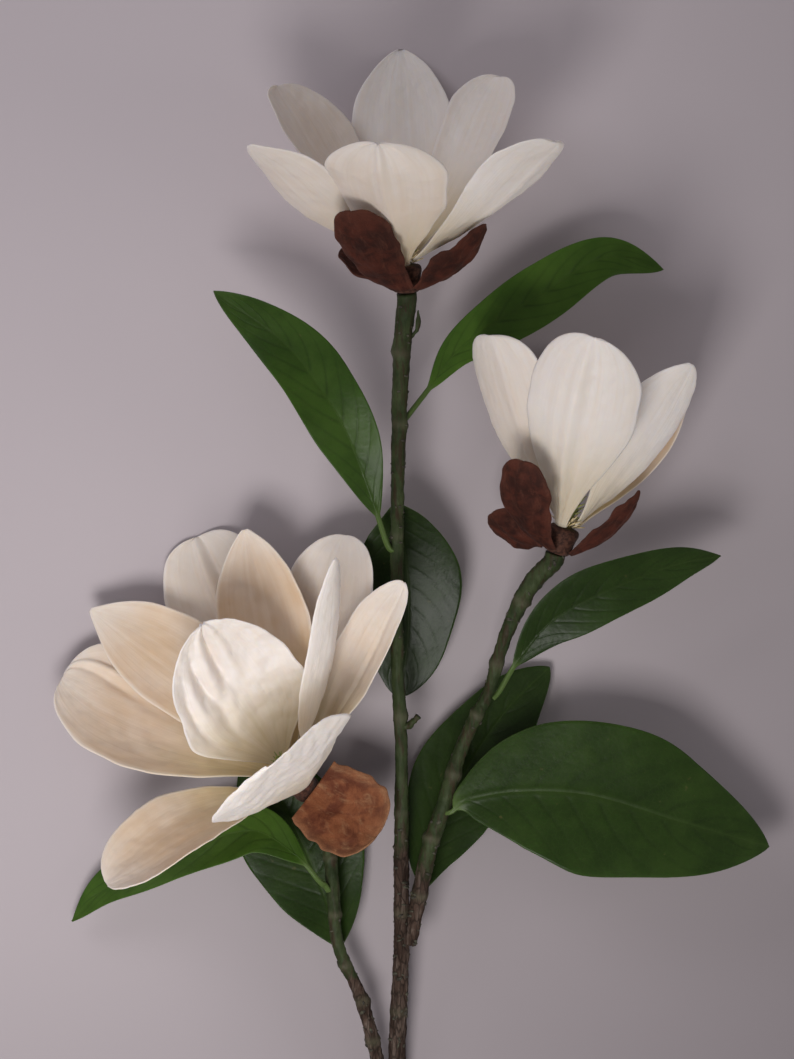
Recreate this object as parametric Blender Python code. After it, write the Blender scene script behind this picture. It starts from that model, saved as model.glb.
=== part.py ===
"""A cut magnolia branch lying on a table: three cream flowers, eight leaves and three green-to-brown stems.

Metres, +Z up.  The main stem runs along +Y from its cut end to the top flower, and z = 0 is the table.
All sizes below are in millimetres and all angles in degrees; MM turns millimetres into metres.
"""

import math

import bpy
import numpy as np
from mathutils import Matrix

MM = 0.001
MIDDLE = (6.76, 260.8, 0.0)

PETAL_THICKNESS = 1.1
SEPAL_THICKNESS = 1.3
LEAF_THICKNESS = 1.0
PETIOLE_THICKNESS = 2.4
PETAL_GRID = (11, 7)            # rows along, columns across
SEPAL_GRID = (8, 5)
LEAF_GRID = (13, 5)
STEM_SIDES = 8
CENTRE_SIDES = 10

# Where a part starts: distance from the flower's axis, and height along it
INNER = (4.8, 6.0)
OUTER = (7.6, 4.2)
LOWER = (9.4, 3.0)
HEART = (3.9, 8.5)
CROWN = (3.7, 11.5)
COLLAR = (7.2, -7.4)
SHEATH = (7.8, -1.5)
NECK = (6.8, -8.8)

# heading: turn of the flower's axis from +Y towards +X; rise: its tilt up from the table
FLOWERS = {
    "top_flower": dict(base=(4, 422, 49), heading=-2, rise=15),
    "right_flower": dict(base=(75, 304, 44), heading=20, rise=10),
    "low_flower": dict(base=(-44, 191, 36), heading=-38, rise=47),
}

# around: angle about the flower's axis; lean: tilt away from the axis at the base and at the tip;
# cup: how far the edges curl inwards; roll: turn about the petal's own length; sway: sideways bend;
# claw: width at the base as a share; widest: where the petal is widest; tip: 1 is pointed, 3 is blunt
PETALS = {
    "top_flower": {
        "back": dict(start=OUTER, around=89, lean=(44, 30), length=111, width=49, cup=22, roll=-4,
                     widest=0.55, tip=1.35),
        "left_back": dict(start=HEART, around=146, lean=(49, 29), length=96, width=50, cup=26, roll=0,
                          claw=0.11, widest=0.66, tip=2.8),
        "right_back": dict(start=INNER, around=42, lean=(46, 26), length=95, width=37, cup=30, roll=10,
                           claw=0.11, widest=0.7, tip=2.8),
        "left_front": dict(start=INNER, around=-164, lean=(57, 39), length=86, width=42, cup=26, roll=28,
                           claw=0.11, widest=0.58, tip=1.35),
        "right_front": dict(start=INNER, around=-23, lean=(59, 41), length=87, width=40, cup=26, roll=-24,
                            claw=0.11, widest=0.72, tip=3),
        "front": dict(start=OUTER, around=-101, lean=(50, 32), length=79, width=58, cup=30, roll=-8,
                      widest=0.74, tip=1.4),
    },
    "right_flower": {
        "back": dict(start=OUTER, around=111, lean=(44, 30), length=87, width=46, cup=26),
        "left_front": dict(start=INNER, around=-171, lean=(51, 29), length=90, width=56, cup=26, roll=30,
                           claw=0.11, widest=0.68, tip=2.8),
        "front": dict(start=OUTER, around=-113, lean=(35, 17), length=99, width=53, cup=34, roll=12,
                      widest=0.66, tip=2.1),
        "right_front": dict(start=INNER, around=-18, lean=(22, 6), length=90, width=36, cup=30, roll=-36,
                            claw=0.11, widest=0.62, tip=1.5),
        "right_back": dict(start=OUTER, around=47, lean=(34, 16), length=80, width=24, cup=34, roll=26,
                           sway=-0.04, widest=0.6, tip=1.4),
        "left_back": dict(start=HEART, around=159, lean=(43, 25), length=70, width=36, cup=26, roll=4,
                          claw=0.11),
    },
    "low_flower": {
        "left": dict(start=OUTER, around=123, lean=(68, 58), length=113, width=62, cup=26, roll=6,
                     widest=0.62, tip=2.6),
        "upper_left": dict(start=INNER, around=93, lean=(62, 52), length=117, width=44, cup=20, roll=4,
                           sway=0.2, claw=0.09, widest=0.6, tip=1.05),
        "upper": dict(start=LOWER, around=75, lean=(63, 63), length=117, width=54, cup=20, roll=6,
                      claw=0.12, widest=0.66, tip=2.8),
        "upper_middle": dict(start=HEART, around=58, lean=(64, 48), length=110, width=48, cup=20, roll=0,
                             claw=0.09, widest=0.56, tip=1.15),
        "upper_right": dict(start=OUTER, around=36, lean=(67, 67), length=106, width=48, cup=24, roll=6,
                            widest=0.66, tip=2.2),
        "right": dict(start=INNER, around=14, lean=(71, 51), length=99, width=28, cup=24, roll=10,
                      sway=-0.12, claw=0.11, widest=0.62, tip=1.7),
        "spike": dict(start=CROWN, around=4, lean=(53, 27), length=114, width=29, cup=30, roll=-60,
                      claw=0.12, widest=0.48, tip=1.3),
        "heart": dict(start=CROWN, around=87, lean=(40, 6), length=83, width=64, cup=34, roll=8,
                      sway=-0.12, claw=0.08, widest=0.42, tip=2.0),
        "front": dict(start=OUTER, around=-89, lean=(35, 19), length=77, width=78, cup=16, claw=0.12,
                      widest=0.62, tip=1.05),
        "lower_left": dict(start=LOWER, around=-176, lean=(49, 93), length=91, width=50, cup=30, roll=10,
                           sway=0, widest=0.6, tip=1.9),
    },
}

SEPALS = {
    "top_flower": {
        "left": dict(around=-119, lean=(59, 29), length=59, width=28, cup=34, roll=14, claw=0.42,
                     widest=0.6, tip=2.4),
        "right": dict(around=-21, lean=(66, 26), length=44, width=26, cup=30, roll=-20, claw=0.5,
                      widest=0.35, tip=1.2),
        "left_back": dict(around=136, lean=(86, 46), length=36, width=24, cup=34, widest=0.5, tip=1.6),
    },
    "right_flower": {
        "upper": dict(around=-130, lean=(76, 16), length=56, width=27, cup=30, roll=16, claw=0.28,
                      widest=0.66, tip=2.6),
        "right": dict(around=-15, lean=(48, 4), length=44, width=17, cup=30, roll=-20, claw=0.4,
                      widest=0.4, tip=1.3),
        "left": dict(start=NECK, around=174, lean=(98, 58), length=28, width=28, cup=24, roll=42,
                     claw=0.25, widest=0.6, tip=2.4),
    },
    "low_flower": {
        "lower_right": dict(start=SHEATH, around=-70, lean=(123, 113), length=36, width=42, cup=24,
                            claw=0.8, widest=0.55, tip=2.6),
    },
}

# path: points along the midrib, from the stem to the tip; face: the way the upper side looks
LEAVES = {
    "upper_left": dict(path=((-4.6, 300, 41), (-11, 319, 50), (-22, 348, 56), (-33, 367, 58), (-51, 390, 54),
                             (-83, 414, 42)), face=(0.1, 0, 1), width=31, fold=8, cup=0.1, widest=0.45, tip=1.25),
    "upper_right": dict(path=((6, 359, 39), (16, 372, 35), (28, 388, 32), (47, 402, 30), (68, 415, 27),
                              (96, 431, 22), (123, 426, 16)), face=(0, 0, 1), width=27, fold=10),
    "middle": dict(path=((0, 317, 35), (2, 306, 27), (5, 283, 18), (5, 255, 11), (1, 228, 7)),
                   face=(0, 0, 1), width=48, fold=6, petiole=0.02, widest=0.4, tip=1.6),
    "right": dict(path=((47, 233, 36), (56, 248, 38), (72, 266, 42), (99, 280, 44), (126, 290, 42),
                        (147, 294, 38)), face=(0.1, -0.2, 1), width=28, fold=10, petiole=0.13, widest=0.45,
                  tip=1.2),
    "behind_right": dict(path=((12, 139, 23.5), (16, 158, 16), (30, 191, 10), (50, 221, 7), (71, 242, 5)),
                         face=(0, 0, 1), width=44, fold=8, petiole=0.04, widest=0.45, tip=1.4),
    "big_right": dict(path=((25.4, 178, 36.2), (32, 183, 37.2), (56, 187, 38), (89, 185, 38), (129, 173, 36),
                            (170, 161, 30)), face=(0, 0.1, 1), width=70, fold=5, petiole=0.03, widest=0.42,
                      tip=1.25),
    "folded": dict(path=((-33, 143, 26), (-36, 146, 30), (-46, 157, 31), (-67, 168, 27), (-99, 158, 21),
                         (-132, 142, 14), (-151, 124, 8)), face=(0, 0.6, 1), width=30, fold=10, widest=0.4,
                   tip=1.2),
    "behind_left": dict(path=((-26, 112, 17), (-33, 134, 10), (-47, 166, 6), (-69, 206, 3)),
                        face=(0, 0, 1), width=54, fold=6, petiole=0.04),
}

STEMS = {
    "main_stem": dict(path=((0, -9, 4.2), (0, 61, 12), (2, 112, 19), (2, 154, 24), (2, 201, 30), (0, 251, 35),
                            (0, 301, 39), (1, 356, 42), (2.6, 392, 43.6), (4.47, 408.49, 45.38),
                            (4.31, 412.78, 46.53)),
                      radii=(4.2, 4.0, 4.1, 3.6, 3.6, 3.0, 3.0, 3.0, 3.2, 3.8, 4.7), rings=42),
    "right_side_stem": dict(path=((6, 116, 27), (10, 138, 29), (15, 161, 31), (21, 179, 33), (27, 200, 34),
                                  (34, 217, 35), (42, 233, 36), (48, 254, 38), (56, 273, 40),
                                  (63.5, 284.5, 41), (70.28, 291.04, 41.57), (71.75, 295.1, 42.32)),
                            radii=(3.0, 3.6, 3.8, 3.8, 3.6, 3.3, 3.0, 2.9, 3.0, 3.5, 4.4, 4.8), rings=32),
    "left_side_stem": dict(path=((-4, 32, 15), (-10, 66, 18), (-17, 91, 20), (-24, 107, 21), (-28, 119, 22),
                                 (-29, 136, 23), (-30.5, 154, 21.5), (-33.2, 169, 20.5), (-36.2, 179.5, 22.2),
                                 (-38.12, 183.48, 25.76), (-40.2, 186.14, 29.38)),
                           radii=(3.0, 3.2, 3.2, 3.0, 3.0, 2.9, 2.9, 3.0, 3.2, 3.8, 4.5), rings=34),
}

# Small side growths on the main stem: a bud under the top flower and the stub of a broken twig
STUBS = {
    "stem_bud": dict(path=((8.2, 395, 45), (9.6, 400, 46), (9.6, 405, 47)), radii=(1.0, 1.5, 0.4)),
    "twig_stub": dict(path=((5.8, 217, 33), (8.0, 219, 34), (9.8, 221, 34.6)), radii=(1.8, 1.5, 1.7)),
}

# Radius and height of the turned centre: a collar on the stem, then the cone of stamens and carpels
CENTRE_PROFILE = ((4.9, -9.0), (5.2, -6.0), (6.0, -3.0), (7.2, 0.0), (7.2, 2.2), (6.6, 3.0), (2.6, 3.8),
                  (2.1, 9.0), (2.1, 12.0), (2.7, 15.0), (2.4, 20.0), (1.0, 24.0))

COLOURS = {
    "petal": ((0.86, 0.80, 0.68, 1), 0.45),
    "sepal": ((0.13, 0.045, 0.03, 1), 0.6),
    "rust_sepal": ((0.30, 0.11, 0.05, 1), 0.65),
    "leaf": ((0.05, 0.13, 0.03, 1), 0.35),
    "stem": ((0.07, 0.10, 0.04, 1), 0.6),
    "centre": ((0.55, 0.55, 0.25, 1), 0.6),
    "bud": ((0.05, 0.06, 0.02, 1), 0.6),
}


def clear_scene():
    for old in list(bpy.data.objects):
        bpy.data.objects.remove(old, do_unlink=True)


def unit(v):
    return v / np.linalg.norm(v, axis=-1, keepdims=True)


def turned(v, axis, angle):
    """Vectors turned about their own axes, by an angle in radians for each row."""
    c = np.cos(angle)[:, None]
    s = np.sin(angle)[:, None]
    return v * c + np.cross(axis, v) * s + axis * np.sum(axis * v, axis=-1, keepdims=True) * (1 - c)


def smooth_path(points, count):
    """Evenly shared points on a smooth curve through the given ones."""
    p = np.asarray(points, float)
    p = np.vstack([2 * p[0] - p[1], p, 2 * p[-1] - p[-2]])
    t = np.linspace(0, len(p) - 3, 30 * len(p))
    i = np.minimum(t.astype(int), len(p) - 4)
    f = (t - i)[:, None]
    a, b, c, d = p[i], p[i + 1], p[i + 2], p[i + 3]
    q = 0.5 * (2 * b + (c - a) * f + (2 * a - 5 * b + 4 * c - d) * f**2 + (3 * b - a - 3 * c + d) * f**3)
    run = np.concatenate([[0], np.cumsum(np.linalg.norm(np.diff(q, axis=0), axis=1))])
    at = np.linspace(0, run[-1], count)
    return np.stack([np.interp(at, run, q[:, k]) for k in range(3)], axis=-1)


def petal_width(u, claw, widest, tip):
    """Share of the full width at u along the petal."""
    rise = claw + (1 - claw) * np.sin(np.pi / 2 * np.clip(u / widest, 0, 1)) ** 1.5
    t = np.clip((u - widest) / (1 - widest), 0, 1)
    fall = 0.12 + 0.88 * (1 - t**2.2) ** (1 / tip)
    return np.where(u < widest, rise, fall)


def petal_surface(grid, start, lean, length, width, cup, roll=0, sway=0, claw=0.12, widest=0.6, tip=2.0):
    """Middle surface of a petal that leans towards +X from an axis along +Z."""
    s = np.linspace(0, 1, 80)
    angle = np.radians(lean[0] + (lean[1] - lean[0]) * s)
    step = np.diff(s, prepend=0) * length
    out = start[0] + np.cumsum(np.sin(angle) * step)
    up = start[1] + np.cumsum(np.cos(angle) * step)
    u = 1 - (1 - np.linspace(0, 1, grid[0])) ** 1.25
    spine = np.stack([np.interp(u, s, out), sway * length * u**2, np.interp(u, s, up)], axis=-1)
    along = unit(np.gradient(spine, axis=0))
    tilt = np.interp(u, s, angle)
    inward = np.stack([-np.cos(tilt), np.zeros_like(u), np.sin(tilt)], axis=-1)
    inward = unit(inward - along * np.sum(inward * along, axis=-1, keepdims=True))
    across = np.cross(inward, along)
    turn = math.radians(roll) * np.clip(u / 0.2, 0, 1)
    inward = turned(inward, along, turn)
    across = turned(across, along, turn)
    half = width / 2 * petal_width(u, claw, widest, tip)[:, None]
    v = np.linspace(-1, 1, grid[1])[None, :]
    curl = math.radians(cup)
    side = half / curl * np.sin(curl * v)
    lift = half / curl * (1 - np.cos(curl * v))
    return spine[:, None] + side[..., None] * across[:, None] + lift[..., None] * inward[:, None]


def leaf_surface(grid, path, face, width, fold, cup=0.0, petiole=0.12, widest=0.5, tip=1.3):
    """Middle surface of a leaf: a narrow petiole that opens into a blade folded along its midrib."""
    spine = smooth_path(path, grid[0])
    u = np.linspace(0, 1, grid[0])
    along = unit(np.gradient(spine, axis=0))
    normal = unit(np.array(face, float))
    normal = unit(normal - along * np.sum(normal * along, axis=-1, keepdims=True))
    across = np.cross(along, normal)
    blade = np.clip((u - petiole) / (1 - petiole), 0, 1)
    rise = np.sin(np.pi / 2 * np.clip(blade / widest, 0, 1)) ** 0.85
    fall = (1 - np.clip((blade - widest) / (1 - widest), 0, 1) ** 1.9) ** (1 / tip)
    half = np.where(blade < widest, rise, fall) * width / 2
    half = np.maximum(half, np.where(blade <= 0.02, 1.2, 0.6))[:, None]
    v = np.linspace(-1, 1, grid[1])[None, :]
    side = half * v * math.cos(math.radians(fold))
    lift = half * np.abs(v) * math.sin(math.radians(fold)) + cup * half * v**2
    return spine[:, None] + side[..., None] * across[:, None] + lift[..., None] * normal[:, None]


def sheet_solid(surface, thickness):
    """Vertices and faces of a closed sheet, from its middle surface and the thickness of each row."""
    rows, cols = surface.shape[:2]
    along = np.gradient(surface, axis=0)
    across = np.gradient(surface, axis=1)
    normal = unit(np.cross(across, along))
    half = np.asarray(thickness, float).reshape(-1, 1, 1) / 2
    verts = np.concatenate([(surface + normal * half).reshape(-1, 3), (surface - normal * half).reshape(-1, 3)])
    under = rows * cols
    faces = []
    for r in range(rows - 1):
        for c in range(cols - 1):
            a, b = r * cols + c, r * cols + c + 1
            d, e = a + cols, b + cols
            faces.append((a, b, e, d))
            faces.append((under + a, under + d, under + e, under + b))
    rim = [(0, c) for c in range(cols)]
    rim += [(r, cols - 1) for r in range(1, rows)]
    rim += [(rows - 1, c) for c in range(cols - 2, -1, -1)]
    rim += [(r, 0) for r in range(rows - 2, 0, -1)]
    ids = [r * cols + c for r, c in rim]
    for i, a in enumerate(ids):
        b = ids[(i + 1) % len(ids)]
        faces.append((b, a, under + a, under + b))
    return verts, faces


def tube_solid(path, radii, rings, sides=STEM_SIDES):
    """Vertices and faces of a closed round stem."""
    centre = smooth_path(path, rings)
    radius = np.interp(np.linspace(0, 1, rings), np.linspace(0, 1, len(radii)), radii)[:, None, None]
    along = unit(np.gradient(centre, axis=0))
    across = unit(np.cross(along, np.array([0.0, 0.0, 1.0])))
    normal = np.cross(across, along)
    angle = np.linspace(0, 2 * math.pi, sides, endpoint=False)[None, :, None]
    ring = centre[:, None] + radius * (np.cos(angle) * across[:, None] + np.sin(angle) * normal[:, None])
    return ring_solid(ring)


def turned_solid(profile, sides):
    """Vertices and faces of a closed body turned about +Z."""
    angle = np.linspace(0, 2 * math.pi, sides, endpoint=False)
    ring = np.array([[(r * math.cos(a), r * math.sin(a), z) for a in -angle] for r, z in profile])
    return ring_solid(ring)


def ring_solid(ring):
    rows, sides = ring.shape[:2]
    verts = ring.reshape(-1, 3)
    faces = [tuple(range(sides)), tuple(range(rows * sides - 1, (rows - 1) * sides - 1, -1))]
    for r in range(rows - 1):
        for k in range(sides):
            a, b = r * sides + k, r * sides + (k + 1) % sides
            faces.append((a, a + sides, b + sides, b))
    return verts, faces


def add_mesh(name, solid, material, parent):
    verts, faces = solid
    mesh = bpy.data.meshes.new(name)
    mesh.from_pydata([tuple(MM * float(k) for k in v) for v in verts], [], faces)
    mesh.materials.append(material)
    obj = bpy.data.objects.new(name, mesh)
    bpy.context.scene.collection.objects.link(obj)
    obj.parent = parent
    return obj


def add_empty(name, parent):
    obj = bpy.data.objects.new(name, None)
    bpy.context.scene.collection.objects.link(obj)
    obj.parent = parent
    return obj


def make_materials():
    made = {}
    for name, (colour, roughness) in COLOURS.items():
        mat = bpy.data.materials.new(name)
        mat.use_nodes = True
        shader = mat.node_tree.nodes["Principled BSDF"]
        shader.inputs["Base Color"].default_value = colour
        shader.inputs["Roughness"].default_value = roughness
        shader.inputs["Metallic"].default_value = 0.0
        made[name] = mat
    return made


def flower_turn(heading, rise):
    """Rotation that carries +Z onto the flower's axis and keeps +X level, to the right."""
    h, r = math.radians(heading), math.radians(rise)
    axis = np.array([math.sin(h) * math.cos(r), math.cos(h) * math.cos(r), math.sin(r)])
    right = unit(np.cross(axis, np.array([0.0, 0.0, 1.0])))
    down = np.cross(axis, right)
    return Matrix((right, down, axis)).transposed().to_euler()


def build_flower(name, place, materials, branch):
    flower = add_empty(name, branch)
    flower.location = [MM * k for k in place["base"]]
    flower.rotation_euler = flower_turn(place["heading"], place["rise"])
    add_mesh(name + "_centre", turned_solid(CENTRE_PROFILE, CENTRE_SIDES), materials["centre"], flower)
    for part, values in PETALS[name].items():
        shape = {k: v for k, v in values.items() if k != "around"}
        solid = sheet_solid(petal_surface(PETAL_GRID, **shape), [PETAL_THICKNESS] * PETAL_GRID[0])
        petal = add_mesh(name + "_petal_" + part, solid, materials["petal"], flower)
        petal.rotation_euler = (0, 0, math.radians(values["around"]))
    for part, values in SEPALS[name].items():
        shape = {k: v for k, v in values.items() if k != "around"}
        shape.setdefault("start", COLLAR)
        shape.setdefault("claw", 0.3)
        surface = petal_surface(SEPAL_GRID, **shape)
        solid = sheet_solid(surface, [SEPAL_THICKNESS] * SEPAL_GRID[0])
        colour = materials["rust_sepal" if name == "low_flower" else "sepal"]
        sepal = add_mesh(name + "_sepal_" + part, solid, colour, flower)
        sepal.rotation_euler = (0, 0, math.radians(values["around"]))


def build_leaf(name, values, materials, branch):
    petiole = values.get("petiole", 0.12)
    u = np.linspace(0, 1, LEAF_GRID[0])
    blade = np.clip((u - petiole) / 0.12, 0, 1)
    thickness = PETIOLE_THICKNESS + (LEAF_THICKNESS - PETIOLE_THICKNESS) * blade
    solid = sheet_solid(leaf_surface(LEAF_GRID, **values), thickness)
    add_mesh("leaf_" + name, solid, materials["leaf"], branch)


def build_branch():
    clear_scene()
    materials = make_materials()
    branch = add_empty("magnolia_branch", None)
    branch.location = [-MM * k for k in MIDDLE]
    for name, values in STEMS.items():
        add_mesh(name, tube_solid(**values), materials["stem"], branch)
    for name, values in STUBS.items():
        add_mesh(name, tube_solid(rings=6, sides=6, **values), materials["bud"], branch)
    for name, values in LEAVES.items():
        build_leaf(name, values, materials, branch)
    for name, place in FLOWERS.items():
        build_flower(name, place, materials, branch)


build_branch()
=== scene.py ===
"""Looks of the magnolia branch: petals, sepals, leaves, bark and flower centres."""

import math

import bpy
import numpy as np
from mathutils import Matrix, Vector, noise


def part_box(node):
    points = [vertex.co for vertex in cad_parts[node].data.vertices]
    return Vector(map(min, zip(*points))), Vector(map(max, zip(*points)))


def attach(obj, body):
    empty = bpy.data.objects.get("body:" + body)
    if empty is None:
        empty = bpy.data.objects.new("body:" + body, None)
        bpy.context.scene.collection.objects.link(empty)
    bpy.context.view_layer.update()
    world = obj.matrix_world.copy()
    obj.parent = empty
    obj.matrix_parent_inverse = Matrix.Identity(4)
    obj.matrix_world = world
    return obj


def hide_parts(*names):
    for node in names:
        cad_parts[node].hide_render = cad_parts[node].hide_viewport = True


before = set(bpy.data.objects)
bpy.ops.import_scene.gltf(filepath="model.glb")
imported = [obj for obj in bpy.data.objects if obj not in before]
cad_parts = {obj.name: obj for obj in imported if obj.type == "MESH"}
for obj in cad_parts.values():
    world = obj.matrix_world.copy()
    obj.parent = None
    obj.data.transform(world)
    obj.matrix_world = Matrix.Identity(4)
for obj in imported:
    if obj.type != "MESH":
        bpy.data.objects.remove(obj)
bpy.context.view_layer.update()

MM = 0.001

# ---------------------------------------------------------------- sizes, in millimetres and degrees

# Where a part starts: distance from the flower's axis, and height along it
INNER = (4.8, 6.0)
OUTER = (7.6, 4.2)
LOWER = (9.4, 3.0)
HEART = (3.9, 8.5)
CROWN = (3.7, 11.5)
COLLAR = (7.2, -7.4)
SHEATH = (7.8, -1.5)
NECK = (6.8, -8.8)

# heading: turn of the flower's axis from +Y towards +X; rise: its tilt up from the table
FLOWERS = {
    "top_flower": dict(base=(4, 422, 49), heading=-2, rise=15),
    "right_flower": dict(base=(75, 304, 44), heading=20, rise=10),
    "low_flower": dict(base=(-44, 191, 36), heading=-38, rise=47),
}

# around: angle about the flower's axis; lean: tilt away from the axis at the base and at the tip
# cup: how far the edges curl inwards; roll: turn about the petal's own length; sway: sideways bend
# claw: width at the base as a share; widest: where the petal is widest
# tip: 1 is pointed, 3 is blunt; crumple: height of soft uneven bumps
# pleats: (place across from -1 to 1, width, height) of creases that run along a petal
# dents: (place along, place across, length, width, slant, height) of short creases
# rim: (height, waves, phase) of the wavy edge; curl: how far the tip bends back
# warm: share of painted shade, a light brown for petals that lie in shade, from 0 to 1
PETALS = {
    "top_flower": {
        "back": dict(start=OUTER, around=89, lean=(44, 30), length=111, width=49, cup=22, roll=-4,
            widest=0.55, tip=1.35, pleats=((0.25, 0.30, 0.5), (-0.3, 0.25, -0.3)),
            rim=(0.8, 2.0, 0.3), curl=1.0, painted_shade=0.05),
        "left_back": dict(start=HEART, around=146, lean=(49, 29), length=96, width=50, cup=26,
            claw=0.11, widest=0.66, tip=2.8, pleats=((0.1, 0.2, 0.5),), rim=(0.9, 1.6, 1.0),
            curl=1.5, painted_shade=0.3),
        "right_back": dict(start=INNER, around=42, lean=(46, 26), length=95, width=37, cup=30,
            roll=10, claw=0.11, widest=0.7, tip=2.8, pleats=((-0.2, 0.25, 0.5),),
            rim=(0.8, 1.7, 2.0), curl=1.5, painted_shade=0.08),
        "left_front": dict(start=INNER, around=-164, lean=(57, 39), length=86, width=42, cup=26,
            roll=28, claw=0.11, widest=0.58, tip=1.35, pleats=((0.2, 0.2, 0.4),),
            rim=(0.9, 1.5, 0.0), curl=1.2, painted_shade=0.3),
        "right_front": dict(start=INNER, around=-23, lean=(59, 41), length=87, width=40, cup=26,
            roll=-24, claw=0.11, widest=0.72, tip=3, pleats=((0.45, 0.15, -0.7), (0.0, 0.3, 0.4)),
            rim=(1.0, 1.8, 0.7), curl=1.5, painted_shade=0.0),
        "front": dict(start=OUTER, around=-101, lean=(50, 32), length=79, width=58, cup=30, roll=-8,
            widest=0.74, tip=1.4, pleats=((0.05, 0.13, -1.3), (0.45, 0.25, 0.7)),
            rim=(1.4, 2.0, 0.5), curl=-1.5, painted_shade=0.4, dents=((0.86, 0.02, 0.16, 0.07, 0.0, -1.9),
            (0.84, -0.5, 0.16, 0.12, 0.0, 1.2))),
    },
    "right_flower": {
        "back": dict(start=OUTER, around=111, lean=(44, 30), length=87, width=46, cup=26,
            rim=(0.9, 1.6, 0.0), painted_shade=0.2),
        "left_front": dict(start=INNER, around=-171, lean=(51, 29), length=90, width=56, cup=26,
            roll=30, claw=0.11, widest=0.68, tip=2.8, pleats=((0.25, 0.14, -0.9), (-0.3, 0.3, 0.4)),
            rim=(0.7, 1.8, 0.4), curl=0.5, painted_shade=0.3),
        "front": dict(start=OUTER, around=-113, lean=(35, 17), length=99, width=53, cup=34, roll=12,
            widest=0.66, tip=2.1, pleats=((-0.45, 0.10, -0.7), (-0.10, 0.13, -1.6),
            (0.14, 0.14, 0.9)), rim=(0.8, 1.5, 0.2), curl=0.4, painted_shade=0.12),
        "right_front": dict(start=INNER, around=-18, lean=(22, 6), length=90, width=36, cup=30,
            roll=-36, claw=0.11, widest=0.62, tip=1.5, pleats=((0.2, 0.2, 0.5),),
            rim=(0.6, 1.5, 1.1), curl=1.0, painted_shade=0.0),
        "right_back": dict(start=OUTER, around=47, lean=(34, 16), length=80, width=24, cup=34,
            roll=26, sway=-0.04, widest=0.6, tip=1.4, pleats=((0.0, 0.3, 0.4),),
            rim=(0.7, 1.4, 0.4), curl=1.0, painted_shade=1.0),
        "left_back": dict(start=HEART, around=159, lean=(43, 25), length=70, width=36, cup=26,
            roll=4, claw=0.11, rim=(0.8, 1.6, 1.0), painted_shade=0.3),
    },
    "low_flower": {
        "left": dict(start=OUTER, around=123, lean=(68, 58), length=113, width=62, cup=26, roll=6,
            widest=0.62, tip=2.6, pleats=((0.3, 0.3, -0.5),), rim=(1.2, 1.6, 0.3), curl=-1.5,
            painted_shade=0.85, dents=((0.82, -0.45, 0.16, 0.06, -0.8, 2.4),
            (0.80, -0.30, 0.18, 0.08, -0.8, -1.6))),
        "upper_left": dict(start=INNER, around=93, lean=(62, 52), length=117, width=44, cup=20,
            roll=4, sway=0.2, claw=0.09, widest=0.6, tip=1.05, pleats=((0.1, 0.3, 0.5),),
            rim=(1.1, 1.4, 0.8), curl=1.0, painted_shade=0.95),
        "upper": dict(start=LOWER, around=75, lean=(63, 63), length=117, width=54, cup=20, roll=6,
            claw=0.12, widest=0.66, tip=2.8, pleats=((0.05, 0.12, 2.0), (0.4, 0.2, -0.8)),
            rim=(1.6, 1.8, 0.2), curl=0.5, painted_shade=0.6, dents=((0.80, 0.10, 0.20, 0.07, 0.0, 1.8),
            (0.80, -0.12, 0.20, 0.08, 0.0, -1.5))),
        "upper_middle": dict(start=HEART, around=58, lean=(64, 48), length=110, width=48, cup=20,
            claw=0.09, widest=0.56, tip=1.15, pleats=((-0.15, 0.14, 1.0), (0.45, 0.2, -0.7)),
            rim=(1.4, 1.7, 2.0), curl=1.0, painted_shade=1.0),
        "upper_right": dict(start=OUTER, around=36, lean=(67, 67), length=106, width=48, cup=24,
            roll=6, widest=0.66, tip=2.2, pleats=((0.1, 0.3, 0.4),), rim=(0.7, 1.5, 0.0), curl=0.5,
            painted_shade=0.5),
        "right": dict(start=INNER, around=14, lean=(71, 51), length=99, width=28, cup=24, roll=10,
            sway=-0.12, claw=0.11, widest=0.62, tip=1.7, pleats=((-0.45, 0.12, -0.9),
            (0.2, 0.3, 0.4)), rim=(0.9, 1.6, 1.4), curl=2.0, painted_shade=0.6),
        "spike": dict(start=CROWN, around=4, lean=(53, 27), length=114, width=29, cup=30, roll=-60,
            claw=0.12, widest=0.48, tip=1.3, pleats=((0.0, 0.3, -0.4),), rim=(0.5, 1.5, 0.0),
            curl=0.5, painted_shade=0.0),
        "heart": dict(start=CROWN, around=87, lean=(40, 6), length=83, width=64, cup=34, roll=8,
            sway=-0.12, claw=0.08, widest=0.42, tip=2.0, pleats=((-0.5, 0.2, 0.9),),
            rim=(1.6, 2.6, 0.4), curl=-1.0, painted_shade=0.0, crumple=0.9,
            dents=((0.80, -0.16, 0.22, 0.10, 0.0, 2.2), (0.78, 0.06, 0.22, 0.075, 0.1, -3.6),
            (0.74, 0.25, 0.20, 0.085, 0.1, 2.8), (0.66, 0.42, 0.16, 0.07, 0.5, -3.8),
            (0.60, 0.60, 0.16, 0.08, 0.3, 2.5), (0.52, 0.76, 0.14, 0.07, 0.2, -2.2),
            (0.42, 0.30, 0.10, 0.09, -0.5, -2.0))),
        "front": dict(start=OUTER, around=-89, lean=(35, 19), length=77, width=78, cup=16,
            claw=0.12, widest=0.62, tip=1.05, pleats=((-0.2, 0.25, 0.9), (0.4, 0.2, -0.8)),
            rim=(1.2, 2.2, 0.6), curl=0.5, painted_shade=0.0, crumple=0.6),
        "lower_left": dict(start=LOWER, around=-176, lean=(49, 93), length=91, width=50, cup=30,
            roll=10, widest=0.6, tip=1.9, pleats=((0.1, 0.25, 0.9),), rim=(0.8, 1.5, 0.5),
            curl=-1.2, painted_shade=1.0),
    },
}

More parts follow.
